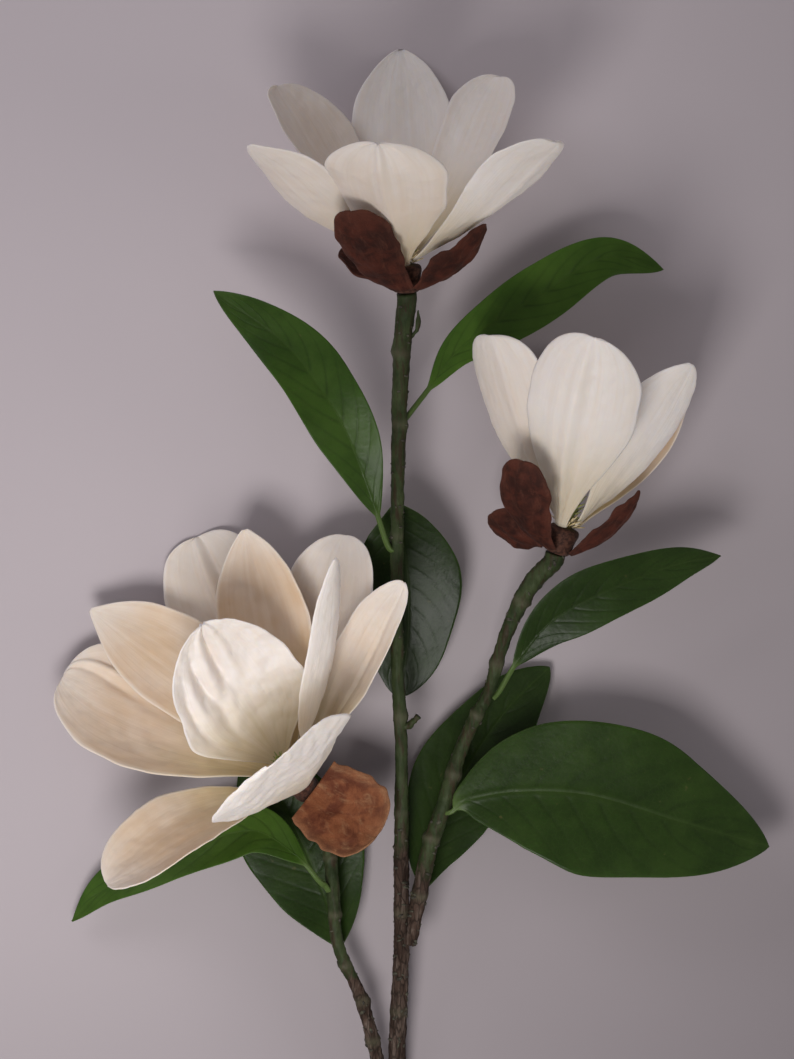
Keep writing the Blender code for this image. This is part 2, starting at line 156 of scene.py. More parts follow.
SEPALS = {
    "top_flower": {
        "left": dict(around=-119, lean=(59, 29), length=59, width=28, cup=34, roll=14, claw=0.42,
            widest=0.6, tip=2.4),
        "right": dict(around=-21, lean=(66, 26), length=44, width=26, cup=30, roll=-20, claw=0.5,
            widest=0.35, tip=1.2),
        "left_back": dict(around=136, lean=(86, 46), length=36, width=24, cup=34, widest=0.5,
            tip=1.6),
    },
    "right_flower": {
        "upper": dict(around=-130, lean=(76, 16), length=56, width=27, cup=30, roll=16, claw=0.28,
            widest=0.66, tip=2.6),
        "right": dict(around=-15, lean=(48, 4), length=44, width=17, cup=30, roll=-20, claw=0.4,
            widest=0.4, tip=1.3),
        "left": dict(start=NECK, around=174, lean=(98, 58), length=28, width=28, cup=24, roll=42,
            claw=0.25, widest=0.6, tip=2.4),
    },
    "low_flower": {
        "lower_right": dict(start=SHEATH, around=-70, lean=(123, 113), length=36, width=42, cup=24,
            claw=0.8, widest=0.55, tip=2.6),
    },
}
SEPAL_PLEATS = ((0.0, 0.25, -0.5), (0.5, 0.2, 0.4), (-0.5, 0.2, 0.4))

# root: the point inside the stem where the petiole grows out
# path: points along the midrib to the tip; fold: how far each half rises from the midrib
# face: the way the upper side looks; wave: (height, waves, phase) of the edge;
# tone: 0 is deep green, 1 is fresh light green
LEAVES = {
    "upper_left": dict(root=(-1.5, 296, 39.6), path=((-4.6, 300, 41), (-11, 319, 50),
        (-22, 348, 56), (-33, 367, 58), (-51, 390, 54), (-83, 414, 42)), face=(0.1, 0, 1), width=31,
        fold=8, cup=0.1, widest=0.45, tip=1.25, tone=0.5, wave=(0.9, 2.2, 0.4)),
    "upper_right": dict(root=(2.5, 354.5, 41), path=((6, 359, 39), (16, 372, 35), (28, 388, 32),
        (47, 402, 30), (68, 415, 27), (96, 431, 22), (123, 426, 16)), face=(0, 0, 1), width=27,
        fold=10, tone=1.0, wave=(0.6, 1.5, 0.0)),
    "middle": dict(root=(0.2, 320, 37.5), path=((0, 317, 35), (2, 306, 27), (5, 283, 18),
        (5, 255, 11), (1, 228, 7)), face=(0, 0, 1), width=48, fold=6, petiole=0.02, widest=0.4,
        tip=1.6, tone=0.0, wave=(0.8, 1.6, 1.0)),
    "right": dict(root=(43.6, 229, 36), path=((47, 233, 36), (56, 248, 38), (72, 266, 42),
        (99, 280, 44), (126, 290, 42), (147, 294, 38)), face=(0.1, -0.2, 1), width=28, fold=10,
        petiole=0.13, widest=0.45, tip=1.2, tone=0.12, wave=(0.5, 1.8, 0.3)),
    "behind_right": dict(root=(11, 136.5, 26), path=((12, 139, 23.5), (16, 158, 16), (30, 191, 10),
        (50, 221, 7), (71, 242, 5)), face=(0, 0, 1), width=44, fold=8, petiole=0.04, widest=0.45,
        tip=1.4, tone=0.05, wave=(0.6, 1.6, 0.9)),
    "big_right": dict(root=(22.4, 176.8, 34.4), path=((25.4, 178, 36.2), (32, 183, 37.2),
        (56, 187, 38), (89, 185, 38), (129, 173, 36), (170, 161, 30)), face=(0, 0.1, 1), width=70,
        fold=5, petiole=0.03, widest=0.42, tip=1.25, tone=0.2, wave=(1.2, 1.6, 3.4)),
    "folded": dict(root=(-31, 140, 24), path=((-33, 143, 26), (-36, 146, 30), (-46, 157, 31),
        (-67, 168, 27), (-99, 158, 21), (-132, 142, 14), (-151, 124, 8)), face=(0, 0.6, 1),
        width=30, fold=10, widest=0.4, tip=1.2, tone=0.75, wave=(0.7, 2.0, 1.2)),
    "behind_left": dict(root=(-25.6, 110, 19), path=((-26, 112, 17), (-33, 134, 10), (-47, 166, 6),
        (-69, 206, 3)), face=(0, 0, 1), width=54, fold=6, petiole=0.04, tone=0.15,
        wave=(0.7, 1.5, 0.0)),
}

# bark_below: the height along +Y under which green turns to brown bark, softly over blend each way
# knots: (share along, height, width)
STEMS = {
    "main_stem": dict(path=((0, -9, 4.2), (0, 61, 12), (2, 112, 19), (2, 154, 24), (2, 201, 30),
        (0, 251, 35), (0, 301, 39), (1, 356, 42), (2.6, 392, 43.6), (4.47, 408.49, 45.38),
        (4.31, 412.78, 46.53)), radii=(4.2, 4.0, 4.1, 3.6, 3.6, 3.0, 3.0, 3.0, 3.2, 3.8, 4.7),
        rings=42, bark_below=160, blend=34, knots=((0.08, 0.8, 0.006), (0.13, 1.3, 0.008),
        (0.22, 0.6, 0.006), (0.33, 0.8, 0.006), (0.44, 0.6, 0.005), (0.545, 1.4, 0.008),
        (0.66, 0.6, 0.004), (0.74, 0.6, 0.005), (0.86, 0.7, 0.006), (0.935, 1.1, 0.006))),
    "right_side_stem": dict(path=((6, 116, 27), (10, 138, 29), (15, 161, 31), (21, 179, 33),
        (27, 200, 34), (34, 217, 35), (42, 233, 36), (48, 254, 38), (56, 273, 40),
        (63.5, 284.5, 41), (70.28, 291.04, 41.57), (71.75, 295.1, 42.32)),
        radii=(3.0, 3.6, 3.8, 3.8, 3.6, 3.3, 3.0, 2.9, 3.0, 3.5, 4.4, 4.8), rings=32,
        bark_below=150, blend=30, knots=((0.12, 0.8, 0.012), (0.26, 1.0, 0.012), (0.42, 1.1, 0.014),
        (0.57, 1.0, 0.012), (0.70, 1.3, 0.014), (0.86, 1.1, 0.012))),
    "left_side_stem": dict(path=((-4, 32, 15), (-10, 66, 18), (-17, 91, 20), (-24, 107, 21),
        (-28, 119, 22), (-29, 136, 23), (-30.5, 154, 21.5), (-33.2, 169, 20.5),
        (-36.2, 179.5, 22.2), (-38.12, 183.48, 25.76), (-40.2, 186.14, 29.38)),
        radii=(3.0, 3.2, 3.2, 3.0, 3.0, 2.9, 2.9, 3.0, 3.2, 3.8, 4.5), rings=34, bark_below=100,
        blend=12, knots=((0.10, 1.3, 0.018), (0.24, 1.0, 0.016), (0.36, 1.4, 0.018),
        (0.47, 1.0, 0.014), (0.62, 0.8, 0.012), (0.78, 0.6, 0.01))),
}

# Small side growths on the main stem: a bud under the top flower and the stub of a broken twig
STUBS = {
    "stem_bud": dict(root=(4.6, 392, 44), path=((8.2, 395, 45), (9.6, 400, 46), (9.6, 405, 47)),
        radii=(1.0, 1.5, 0.4)),
    "twig_stub": dict(root=(3.2, 216, 32.4), path=((5.8, 217, 33), (8.0, 219, 34),
        (9.8, 221, 34.6)), radii=(1.8, 1.5, 1.7)),
}

# The turned core of a flower: (radius, height)
CENTRE_PROFILE = (
    (0.2, -9.0), (4.6, -9.0), (5.6, -8.7), (6.3, -7.5), (6.5, -6.0), (6.5, -4.4), (6.5, -3.0),
    (6.8, -1.2), (7.1, 0.0), (7.2, 1.2), (7.0, 2.2), (6.4, 3.0), (4.6, 3.4), (3.0, 3.8),
    (2.2, 5.0), (2.1, 9.0), (2.1, 12.0), (2.6, 15.0), (2.4, 19.0), (1.8, 22.0), (1.0, 23.6),
    (0.2, 24.0))

# Points along and across each sheet
PETAL_GRID = (84, 57)
SEPAL_GRID = (56, 41)
LEAF_GRID = (150, 61)
# A finished stem has this many rings for each one in its table
STEM_FINER = 9
STEM_SIDES = 30
STUB_RINGS = 24
STUB_SIDES = 20
CENTRE_SIDES = 32
# Walls; the share of a leaf that is petiole; rows of side veins; the least height above the table
PETAL_THICKNESS = 1.0
SEPAL_THICKNESS = 1.1
LEAF_THICKNESS = 0.7
PETIOLE_THICKNESS = 2.3
PETIOLE_SHARE = 0.12
VEIN_ROWS = 10
TABLE_GAP = 0.1

# ---------------------------------------------------------------- colours (linear), light

# The two light browns stand for painted shade on petals that lie in shade; the rest are the petals'
# own colours
PETAL_COLOURS = dict(
    white=(0.82, 0.755, 0.71), cream=(0.80, 0.72, 0.655), shade_beige=(0.60, 0.44, 0.295),
    tan=(0.56, 0.395, 0.25), base=(0.44, 0.34, 0.14), fibre=(0.66, 0.55, 0.45),
    stain=(0.52, 0.40, 0.29))
SEPAL_COLOURS = dict(
    dark=((0.022, 0.006, 0.004), (0.066, 0.016, 0.009), (0.14, 0.052, 0.032)),
    rust=((0.085, 0.022, 0.010), (0.20, 0.068, 0.028), (0.42, 0.25, 0.13)))
LEAF_COLOURS = dict(
    deep=(0.009, 0.017, 0.004), mid=(0.015, 0.028, 0.006), fresh=(0.036, 0.078, 0.010),
    lime=(0.06, 0.12, 0.016), vein=(0.050, 0.085, 0.020), midrib=(0.10, 0.13, 0.04),
    under=(0.09, 0.14, 0.035), under_light=(0.14, 0.20, 0.055), stalk=(0.07, 0.11, 0.03),
    blemish=(0.08, 0.07, 0.025))
STEM_COLOURS = dict(
    green=(0.018, 0.028, 0.010), green_light=(0.042, 0.056, 0.022), fleck=(0.035, 0.022, 0.013),
    bark_dark=(0.026, 0.015, 0.011), bark=(0.060, 0.038, 0.028), bark_pale=(0.14, 0.105, 0.085),
    crack=(0.010, 0.007, 0.005), knot=(0.085, 0.080, 0.050),
    flecks=((0.020, 0.015, 0.009), (0.062, 0.060, 0.036)))
CENTRE_COLOURS = dict(
    brown=(0.030, 0.012, 0.008), collar=(0.085, 0.035, 0.022), green=(0.14, 0.17, 0.04),
    yellow=(0.40, 0.34, 0.10), stamen=((0.55, 0.42, 0.20), (0.72, 0.60, 0.36)),
    carpel=((0.20, 0.24, 0.07), (0.38, 0.38, 0.13)))
# Paper colour and its painted shade, which deepens the floor towards the lower right
FLOOR_AND_PAINTED_SHADE = ((0.52, 0.465, 0.485), (0.25, 0.222, 0.232))

# Stamens and carpels stand around the core, in millimetres and radians, each turned by the golden
# angle from the one before
GOLDEN_ANGLE = 2.39996
IN_MM = ("Low", "High", "Radius Low", "Radius High", "Length", "Thick")
STAMENS = {
    "Count": 34, "Low": 4.2, "High": 7.0, "Radius Low": 3.2, "Radius High": 2.8, "Length": 5.0,
    "Thick": 0.42, "Lean Low": 1.15, "Lean High": 0.7}
CARPELS = {
    "Count": 34, "Low": 8.5, "High": 22.5, "Radius Low": 2.5, "Radius High": 1.5, "Length": 3.4,
    "Thick": 0.55, "Lean Low": 1.1, "Lean High": 0.45}

# Raised flecks of bark: how many on a square metre, and their size in metres
BARK_FLECKS = {"Density": 30000.0, "Size": 0.0009}

# Floor, camera, world and lamps, in metres and watts
FLOOR_REACH = 9
CAMERA_LENS = 98.2
CAMERA_ABOVE = (0.0, 0.306, 1.35)
WORLD_COLOUR = (0.97, 0.94, 1.0)
WORLD_STRENGTH = 0.24
LAMPS = (
    dict(name="key", place=(0.85, -0.05, 0.40), target=(0, 0, 0.05), size=0.5, power=1.35,
         colour=(1.0, 0.97, 0.95)),
    dict(name="front", place=(-0.14, -0.3, 0.62), target=(-0.08, -0.08, 0.06), size=0.25,
         power=1.25, colour=(1.0, 0.98, 0.97), spread=110),
    dict(name="fill", place=(-0.8, 0.8, 0.7), target=(-0.35, 0.4, 0), size=0.6, power=4.0,
         colour=(0.97, 0.95, 1.0)),
)


# ---------------------------------------------------------------- shapes


def unit(v):
    """Vectors of length 1 in the same directions."""
    return v / np.maximum(np.linalg.norm(v, axis=-1, keepdims=True), 1e-9)


def turned(v, axis, angle):
    """Vectors turned about their own axes, by an angle in radians for each row."""
    c = np.cos(angle)[:, None]
    s = np.sin(angle)[:, None]
    return v * c + np.cross(axis, v) * s + axis * np.sum(axis * v, axis=-1, keepdims=True) * (1 - c)


def smooth_path(points, count):
    """Evenly shared points on a smooth curve through the given ones."""
    p = np.asarray(points, float)
    p = np.vstack([2 * p[0] - p[1], p, 2 * p[-1] - p[-2]])
    t = np.linspace(0, len(p) - 3, 30 * len(p))
    i = np.minimum(t.astype(int), len(p) - 4)
    f = (t - i)[:, None]
    a, b, c, d = p[i], p[i + 1], p[i + 2], p[i + 3]
    square, cube = 2 * a - 5 * b + 4 * c - d, 3 * b - a - 3 * c + d
    q = 0.5 * (2 * b + (c - a) * f + square * f**2 + cube * f**3)
    run = np.concatenate([[0], np.cumsum(np.linalg.norm(np.diff(q, axis=0), axis=1))])
    at = np.linspace(0, run[-1], count)
    return np.stack([np.interp(at, run, q[:, k]) for k in range(3)], axis=-1)


def step(x, low, high):
    """0 below low, 1 above high, and a soft rise between them."""
    t = np.clip((x - low) / (high - low), 0, 1)
    return t * t * (3 - 2 * t)


def rough_field(points, scale, seed):
    """Smooth noise from -1 to 1 at each point of a grid, the same on every run."""
    flat = points.reshape(-1, 3)
    values = [noise.noise(Vector(p * scale) + Vector((seed, 2.7 * seed, 0))) for p in flat]
    return np.array(values).reshape(points.shape[:-1])


def petal_width(u, claw, widest, tip):
    """Share of the full width along a petal: narrow claw, widest place, rounded or pointed tip."""
    rise = claw + (1 - claw) * np.sin(np.pi / 2 * np.clip(u / widest, 0, 1)) ** 1.5
    t = np.clip((u - widest) / (1 - widest), 0, 1)
    fall = 0.04 + 0.96 * (1 - t**2.2) ** (1 / tip)
    return np.where(u < widest, rise, fall)


def petal_surface(grid, start, lean, length, width, cup, rim, ragged, crumple, seed, roll=0, sway=0,
                  claw=0.12, widest=0.6, tip=2.0, pleats=(), dents=(), curl=0.0):
    """Middle surface of a petal that leans towards +X from an axis along +Z."""
    s = np.linspace(0, 1, 160)
    angle = np.radians(lean[0] + (lean[1] - lean[0]) * s)
    part = np.diff(s, prepend=0) * length
    out = start[0] + np.cumsum(np.sin(angle) * part)
    up = start[1] + np.cumsum(np.cos(angle) * part)
    u = 1 - (1 - np.linspace(0, 1, grid[0])) ** 1.5
    spine = np.stack([np.interp(u, s, out), sway * length * u**2, np.interp(u, s, up)], axis=-1)
    tilt = np.interp(u, s, angle)
    along = unit(np.stack([np.sin(tilt), 2 * sway * u, np.cos(tilt)], axis=-1))
    inward = np.stack([-np.cos(tilt), np.zeros_like(u), np.sin(tilt)], axis=-1)
    inward = unit(inward - along * np.sum(inward * along, axis=-1, keepdims=True))
    across = np.cross(inward, along)
    turn = math.radians(roll) * np.clip(u / 0.2, 0, 1)
    inward = turned(inward, along, turn)
    across = turned(across, along, turn)
    v = np.linspace(-1, 1, grid[1])[None, :]
    uu = u[:, None]
    half = width / 2 * petal_width(u, claw, widest, tip)[:, None] * np.ones_like(v)
    edge = np.stack([uu * 6 + 0 * v, np.sign(v) * 3 + 0 * uu, 0 * uu + 0 * v], axis=-1)
    half = half * (1 + ragged * rough_field(edge, 1.0, seed) * np.abs(v) ** 4)
    curve = math.radians(cup)
    side = half / curve * np.sin(curve * v)
    lift = half / curve * (1 - np.cos(curve * v))
    body = np.clip(np.sin(np.pi * uu), 0, 1) ** 0.6
    for place, wide, height in pleats:
        lift = lift + height * np.exp(-(((v - place * (1 - 0.3 * uu)) / wide) ** 2)) * body
    for place, side_place, long, wide, slant, height in dents:
        off = (v - side_place - slant * (uu - place)) / wide
        lift = lift + height * np.exp(-off**2 - ((uu - place) / long) ** 2)
    height, waves, phase = rim
    edge_wave = np.sin(2 * np.pi * waves * uu + phase + 1.9 * (v > 0))
    lift = lift + height * np.abs(v) ** 3 * edge_wave * step(uu, 0.15, 0.5)
    lift = lift - curl * step(uu, 0.72, 1.0) ** 2 * 2
    surface = spine[:, None] + side[..., None] * across[:, None] + lift[..., None] * inward[:, None]
    bumps = rough_field(surface, 0.16, seed) + 0.5 * rough_field(surface, 0.4, seed + 5)
    return surface + (crumple * bumps * step(uu, 0.05, 0.3))[..., None] * inward[:, None]


def vein_depth(u, v):
    """Depth of a leaf's veins, from 0 to 1, at u along and v across."""
    shift = u - 0.30 * np.abs(v) ** 1.25 * (0.55 + 0.45 * u)
    row = np.abs((shift * VEIN_ROWS) % 1.0 - 0.5)
    return np.exp(-((row / 0.085) ** 2)) * (1 - 0.75 * np.abs(v)) * step(np.abs(v), 0.02, 0.1)


def across_leaf(count):
    """Places across a leaf from -1 to 1, closer together at the midrib."""
    share = np.linspace(-1, 1, count)
    return (np.sign(share) * np.abs(share) ** 1.3)[None, :]


def leaf_surface(grid, path, face, width, fold, petiole, wave, cup=0.0, widest=0.5, tip=1.3):
    """Middle surface of a leaf, a petiole and a folded blade, and how open it is at each row."""
    spine = smooth_path(path, grid[0])
    u = np.linspace(0, 1, grid[0])
    along = unit(np.gradient(spine, axis=0))
    normal = unit(np.array(face, float))
    normal = unit(normal - along * np.sum(normal * along, axis=-1, keepdims=True))
    across = np.cross(along, normal)
    blade = np.clip((u - petiole) / (1 - petiole), 0, 1)
    rise = np.sin(np.pi / 2 * np.clip(blade / widest, 0, 1)) ** 0.85
    fall = (1 - np.clip((blade - widest) / (1 - widest), 0, 1) ** 1.9) ** (1 / tip)
    half = np.where(blade < widest, rise, fall) * width / 2
    half = np.maximum(half, np.where(blade <= 0.02, 1.15, 0.25))[:, None]
    v = across_leaf(grid[1])
    open_blade = np.clip(half / (width / 2), 0, 1)
    height, waves, phase = wave
    outline = np.sin(2.6 * np.pi * waves * u[:, None] + 1.7 * phase + 2.1 * (v > 0))
    half = half * (1 + 0.045 * outline * open_blade)
    side = half * v * math.cos(math.radians(fold))
    lift = half * np.sqrt(v**2 + 0.003) * math.sin(math.radians(fold)) + cup * half * v**2
    edge_wave = np.sin(2 * np.pi * waves * u[:, None] + phase + 2.1 * (v > 0))
    lift = lift + height * np.abs(v) ** 2.5 * open_blade * edge_wave
    lift = lift - 0.09 * vein_depth(blade[:, None], v) * open_blade
    lift = lift - 0.5 * np.exp(-((v * half / 0.9) ** 2)) * open_blade**0.5
    surface = spine[:, None] + side[..., None] * across[:, None] + lift[..., None] * normal[:, None]
    return surface, open_blade


def sheet_solid(surface, half_thickness):
    """Vertices, faces, UVs and the side (1 is the outer or upper one) of a closed sheet."""
    rows, cols = surface.shape[:2]
    normal = unit(np.cross(np.gradient(surface, axis=1), np.gradient(surface, axis=0)))
    verts = np.concatenate([(surface + normal * half_thickness).reshape(-1, 3),
                            (surface - normal * half_thickness).reshape(-1, 3)])
    under = rows * cols
    r, c = np.meshgrid(np.arange(rows - 1), np.arange(cols - 1), indexing="ij")
    a = (r * cols + c).ravel()
    top = np.stack([a, a + 1, a + 1 + cols, a + cols], axis=-1)
    low = under + np.stack([a, a + cols, a + 1 + cols, a + 1], axis=-1)
    rim = [(0, k) for k in range(cols)]
    rim += [(k, cols - 1) for k in range(1, rows)]
    rim += [(rows - 1, k) for k in range(cols - 2, -1, -1)]
    rim += [(k, 0) for k in range(rows - 2, 0, -1)]
    ids = np.array([i * cols + k for i, k in rim])
    after = np.roll(ids, -1)
    wall = np.stack([after, ids, under + ids, under + after], axis=-1)
    faces = np.concatenate([top, low, wall])
    uu, vv = np.meshgrid(np.linspace(0, 1, rows), np.linspace(0, 1, cols), indexing="ij")
    uv = np.stack([vv.ravel(), uu.ravel()], axis=-1)
    return verts, faces, np.concatenate([uv, uv]), np.repeat([1.0, 0.0], under)


def rounded(grid, thickness, edge=0.3):
    """Half thickness over a grid, thin and round at the rim."""
    v = np.linspace(-1, 1, grid[1])[None, :]
    u = np.linspace(0, 1, grid[0])[:, None]
    across = np.sqrt(1 - np.abs(v) ** 10)
    along = np.sqrt(1 - u**24)
    return (thickness / 2 * (edge + (1 - edge) * across * along))[..., None]


def stem_surface(path, radii, rings, sides, knots, seed):
    """Rings of a knotty stem and the share along it."""
    centre = smooth_path(path, rings)
    u = np.linspace(0, 1, rings)
    radius = np.interp(u, np.linspace(0, 1, len(radii)), radii)
    along = unit(np.gradient(centre, axis=0))
    across = unit(np.cross(along, np.array([0.0, 0.0, 1.0])))
    normal = np.cross(across, along)
    angle = np.linspace(0, 2 * math.pi, sides, endpoint=False)
    cos, sin = np.cos(angle)[None, :, None], np.sin(angle)[None, :, None]
    ring = cos * across[:, None] + sin * normal[:, None]
    swell = np.zeros((rings, sides))
    for k, (place, height, wide) in enumerate(knots):
        lean = 0.55 + 0.45 * np.cos(angle - 2.4 * k - seed)
        near = u[:, None] - place - 0.35 * wide * np.cos(angle - 1.1 * k)[None, :]
        swell = swell + height * np.exp(-((near / wide) ** 2)) * lean[None, :]
    skin = centre[:, None] + radius[:, None, None] * ring
    grain = rough_field(skin * np.array([1.0, 0.25, 1.0]), 0.55, seed) * 0.5
    grain = grain + rough_field(skin * np.array([1.0, 0.4, 1.0]), 1.3, seed + 3) * 0.4
    swell = (swell + grain * 0.9) * step(u, 0.0, 0.01)[:, None] * (1 - step(u, 0.985, 1.0))[:, None]
    return centre[:, None] + (radius[:, None] + swell - 0.15)[..., None] * ring, u


def ring_solid(ring):
    """Vertices, faces and UVs of a closed body made of rings."""
    rows, sides = ring.shape[:2]
    ends = np.stack([ring[0].mean(axis=0), ring[-1].mean(axis=0)])
    verts = np.concatenate([ring.reshape(-1, 3), ends])
    r, k = np.meshgrid(np.arange(rows - 1), np.arange(sides), indexing="ij")
    a = (r * sides + k).ravel()
    b = (r * sides + (k + 1) % sides).ravel()
    faces = [tuple(f) for f in np.stack([a, a + sides, b + sides, b], axis=-1).tolist()]
    first, last = rows * sides, rows * sides + 1
    top = (rows - 1) * sides
    for i in range(sides):
        j = (i + 1) % sides
        faces.append((first, i, j))
        faces.append((last, top + j, top + i))
    uu, vv = np.meshgrid(np.linspace(0, 1, rows), np.arange(sides) / sides, indexing="ij")
    uv = np.concatenate([np.stack([vv.ravel(), uu.ravel()], axis=-1), [[0.5, 0.0], [0.5, 1.0]]])
    return verts, faces, uv


# ---------------------------------------------------------------- placing and meshes


def flower_matrix(place):
    """Carries a flower's own axes (+Z up its middle) into the branch."""
    h, r = math.radians(place["heading"]), math.radians(place["rise"])
    axis = np.array([math.sin(h) * math.cos(r), math.cos(h) * math.cos(r), math.sin(r)])
    right = unit(np.cross(axis, np.array([0.0, 0.0, 1.0])))
    return np.stack([right, np.cross(axis, right), axis], axis=-1)


def in_flower(verts, place, around):
    """Points of a petal that leans along +X, turned about the flower's axis and put in place."""
    a = math.radians(around)
    spin = np.array([[math.cos(a), -math.sin(a), 0], [math.sin(a), math.cos(a), 0], [0, 0, 1]])
    return verts @ spin.T @ flower_matrix(place).T + np.array(place["base"], float)


def branch_offset():
    """Where the branch's own millimetres start, in metres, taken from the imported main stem."""
    low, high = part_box("main_stem")
    values = STEMS["main_stem"]
    centre = smooth_path(values["path"], values["rings"])
    middle = (centre.min(axis=0) + centre.max(axis=0)) / 2
    return ((np.array(low) + np.array(high)) / 2 - MM * middle) * (1, 1, 0)


OFFSET = branch_offset()


def make_mesh(name, verts, faces, uv, material, attributes=()):
    """A smooth object from millimetres in the branch's own axes, kept just above the table."""
    mesh = bpy.data.meshes.new(name)
    placed = verts * MM + OFFSET
    placed[:, 2] = np.maximum(placed[:, 2], TABLE_GAP * MM)
    mesh.from_pydata(placed.tolist(), [], [tuple(f) for f in faces])
    layer = mesh.uv_layers.new(name="UVMap")
    corner = np.zeros(len(mesh.loops), int)
    mesh.loops.foreach_get("vertex_index", corner)
    layer.data.foreach_set("uv", np.asarray(uv, float)[corner].ravel())
    for label, values in attributes:
        layer = mesh.attributes.new(label, "FLOAT", "POINT")
        layer.data.foreach_set("value", np.asarray(values, float))
    mesh.polygons.foreach_set("use_smooth", [True] * len(mesh.polygons))
    mesh.materials.append(material)
    mesh.update()
    obj = bpy.data.objects.new(name, mesh)
    bpy.context.scene.collection.objects.link(obj)
    return obj


def finish_piece(obj, node):
    """Every piece rides on the one body and stands for the node it is named after."""
    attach(obj, "root")
    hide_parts(node)


# ---------------------------------------------------------------- materials


def put(tree, socket, value):
    """Links a socket to another, or sets it; a colour of three values gets its fourth."""
    if isinstance(value, bpy.types.NodeSocket):
        tree.links.new(value, socket)
    elif socket.type == "RGBA" and len(value) == 3:
        socket.default_value = (*value, 1.0)
    else:
        socket.default_value = value


def add(tree, kind, props=(), **sockets):
    """One node, its settings and its inputs; i0 is the first input, and "_" stands for a space."""
    node = tree.nodes.new(kind)
    for key, value in dict(props).items():
        setattr(node, key, value)
    for key, value in sockets.items():
        numbered = key[0] == "i" and key[1:].isdigit()
        put(tree, node.inputs[int(key[1:]) if numbered else key.replace("_", " ")], value)
    return node


def calc(tree, operation, a, b=0.0, c=0.0, clamp=False):
    """One sum on plain values or sockets."""
    node = add(tree, "ShaderNodeMath", dict(operation=operation, use_clamp=clamp), i0=a, i1=b, i2=c)
    return node.outputs[0]


def ramp(tree, value, low, high, bottom=0.0, top=1.0):
    """A soft step of a value, from bottom at low to top at high."""
    node = add(tree, "ShaderNodeMapRange", dict(interpolation_type="SMOOTHSTEP"), Value=value,
               From_Min=low, From_Max=high, To_Min=bottom, To_Max=top)
    return node.outputs[0]


def mix(tree, share, a, b):
    """Colour a turning into colour b as the share goes from 0 to 1."""
    return add(tree, "ShaderNodeMix", dict(data_type="RGBA"), i0=share, i6=a, i7=b).outputs[2]


def attribute(tree, name):
    """A value that the mesh carries at each of its points."""
    return add(tree, "ShaderNodeAttribute", dict(attribute_name=name)).outputs["Fac"]


def stretched(tree, x, y, z=1.0, source="UV"):
    """Coordinates scaled differently in each direction."""
    coordinates = add(tree, "ShaderNodeTexCoord").outputs[source]
    return add(tree, "ShaderNodeMapping", Vector=coordinates, Scale=(x, y, z)).outputs[0]


def evenly(tree, scale):
    """The object's own coordinates, scaled alike in each direction."""
    return stretched(tree, scale, scale, scale, "Object")


def mottle(tree, where, detail=3.0, rough=0.5, warp=0.0):
    """Soft noise from 0 to 1."""
    return add(tree, "ShaderNodeTexNoise", Vector=where, Scale=1.0, Detail=detail, Roughness=rough,
               Distortion=warp).outputs["Fac"]


def cell_edges(tree, where):
    """Distance to the nearest edge of small uneven cells."""
    return add(tree, "ShaderNodeTexVoronoi", dict(feature="DISTANCE_TO_EDGE"), Vector=where,
               Scale=1.0).outputs[0]


def rim_share(tree, across, start, most):
    """How much of the rim's colour shows, rising from start to the edge of a sheet."""
    off_middle = calc(tree, "ABSOLUTE", calc(tree, "SUBTRACT", across, 0.5))
    return ramp(tree, off_middle, start, 0.5, 0.0, most)


def blotches(tree, field, pair):
    """Two close colours in soft patches of a field."""
    return mix(tree, ramp(tree, field, 0.3, 0.7), *pair)


def start_material(name, **finish):
    """A new material with one Principled surface whose plain settings are given."""
    material = bpy.data.materials.new(name)
    material.use_nodes = True
    tree = material.node_tree
    tree.nodes.clear()
    surface = add(tree, "ShaderNodeBsdfPrincipled", **finish)
    add(tree, "ShaderNodeOutputMaterial", Surface=surface.outputs[0])
    return material, tree, surface


def wire(tree, surface, colour, roughness, bumps):
    """Colour, roughness and a chain of (height, strength, distance) bumps into the surface."""
    put(tree, surface.inputs["Base Color"], colour)
    put(tree, surface.inputs["Roughness"], roughness)
    before = {}
    for height, strength, distance in bumps:
        bump = add(tree, "ShaderNodeBump", Strength=strength, Distance=distance, Height=height,
                   **before)
        before = {"Normal": bump.outputs[0]}
    put(tree, surface.inputs["Normal"], before["Normal"])


